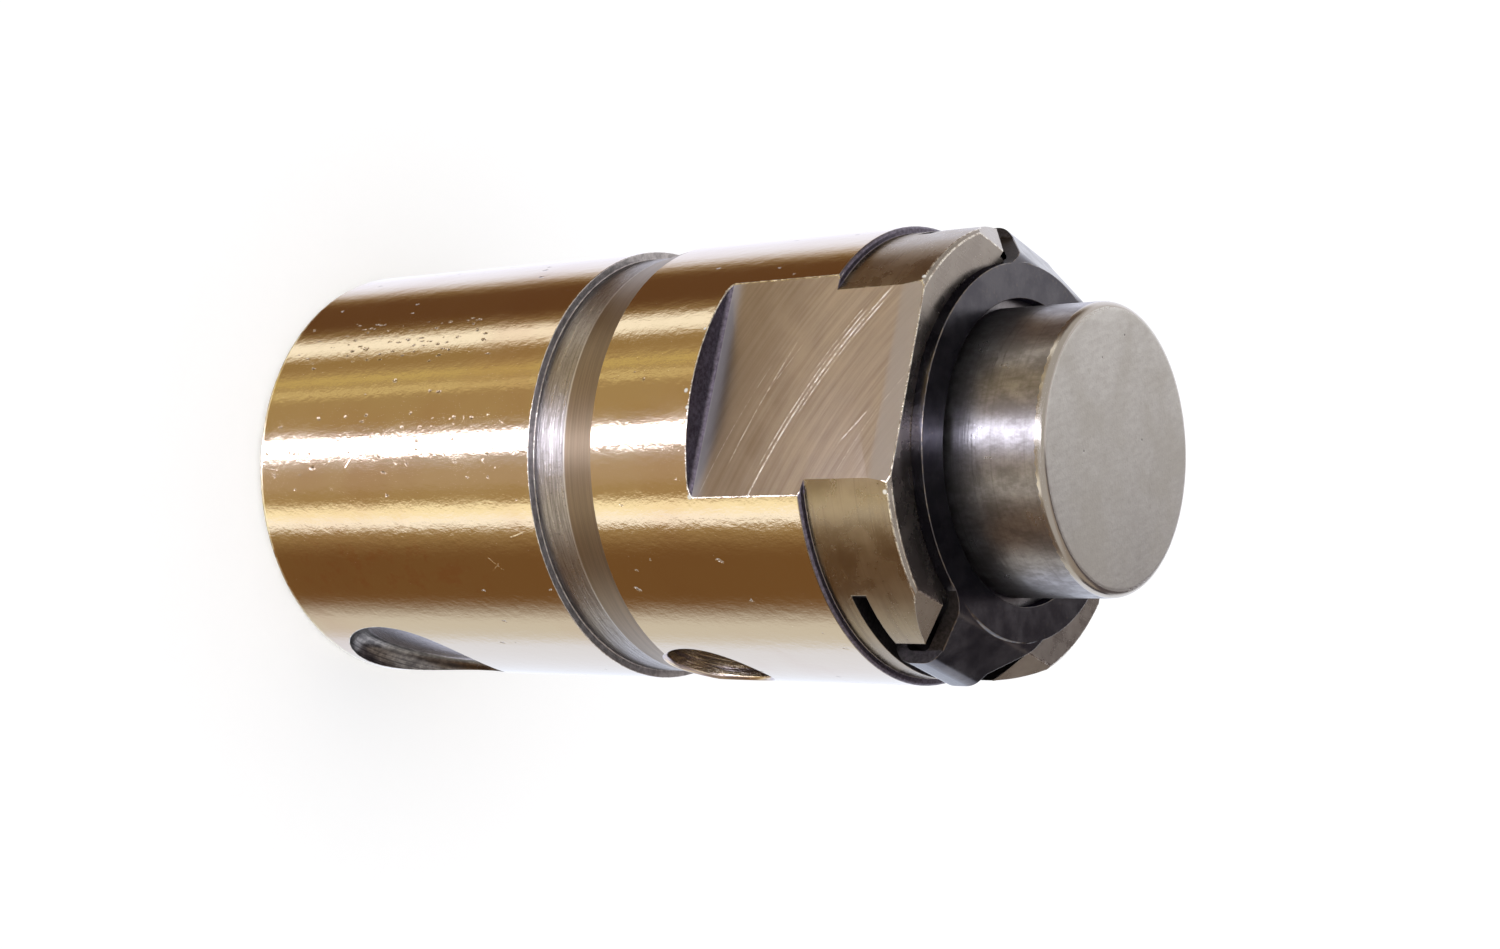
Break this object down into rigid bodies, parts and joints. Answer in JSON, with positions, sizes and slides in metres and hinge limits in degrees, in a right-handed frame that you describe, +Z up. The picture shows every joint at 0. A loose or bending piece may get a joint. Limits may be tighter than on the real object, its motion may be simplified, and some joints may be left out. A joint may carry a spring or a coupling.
{
  "type": "hydraulic valve lifter",
  "caption": "Ground steel hydraulic valve lifter with an oil groove, milled guide flats and a sprung flat-topped plunger held by a folded clip.",
  "frame": {"origin": "centre of the flat foot that rides on the cam", "axes": "+Z up along the lifter's axis, from the foot to the plunger's end; the milled flats face -Y and +Y; the oil hole and the round pocket face +X"},
  "size_m": [0.0254, 0.0254, 0.0527],
  "materials": {
    "body_steel": "ground and polished, warm steel tone",
    "clip_steel": "dark phosphated spring sheet",
    "plunger_steel": "fine ground side, lapped end face",
    "inner_steel": "plain turned or pressed steel",
    "ball_steel": "polished bearing ball",
    "spring_steel": "drawn spring wire"
  },
  "bodies": {
    "body": {"lifter_body": "body_steel", "retaining_clip": "clip_steel", "plunger_spring": "spring_steel"},
    "plunger": {"plunger": "plunger_steel", "valve_seat": "inner_steel", "check_valve_cage": "inner_steel", "check_ball_spring": "spring_steel"},
    "ball": {"check_ball": "ball_steel"}
  },
  "joints": [
    {"name": "plunger_slide", "type": "slide", "parent": "body", "child": "plunger", "axis": [0, 0, -1], "range_m": [0, 0.004], "stiffness_N_per_m": 1500, "springref_m": -0.003, "deforming": ["plunger_spring"]},
    {"name": "ball_slide", "type": "slide", "parent": "plunger", "child": "ball", "axis": [0, 0, -1], "range_m": [0, 0.0007], "stiffness_N_per_m": 60, "springref_m": -0.0008, "deforming": ["check_ball_spring"]}
  ]
}
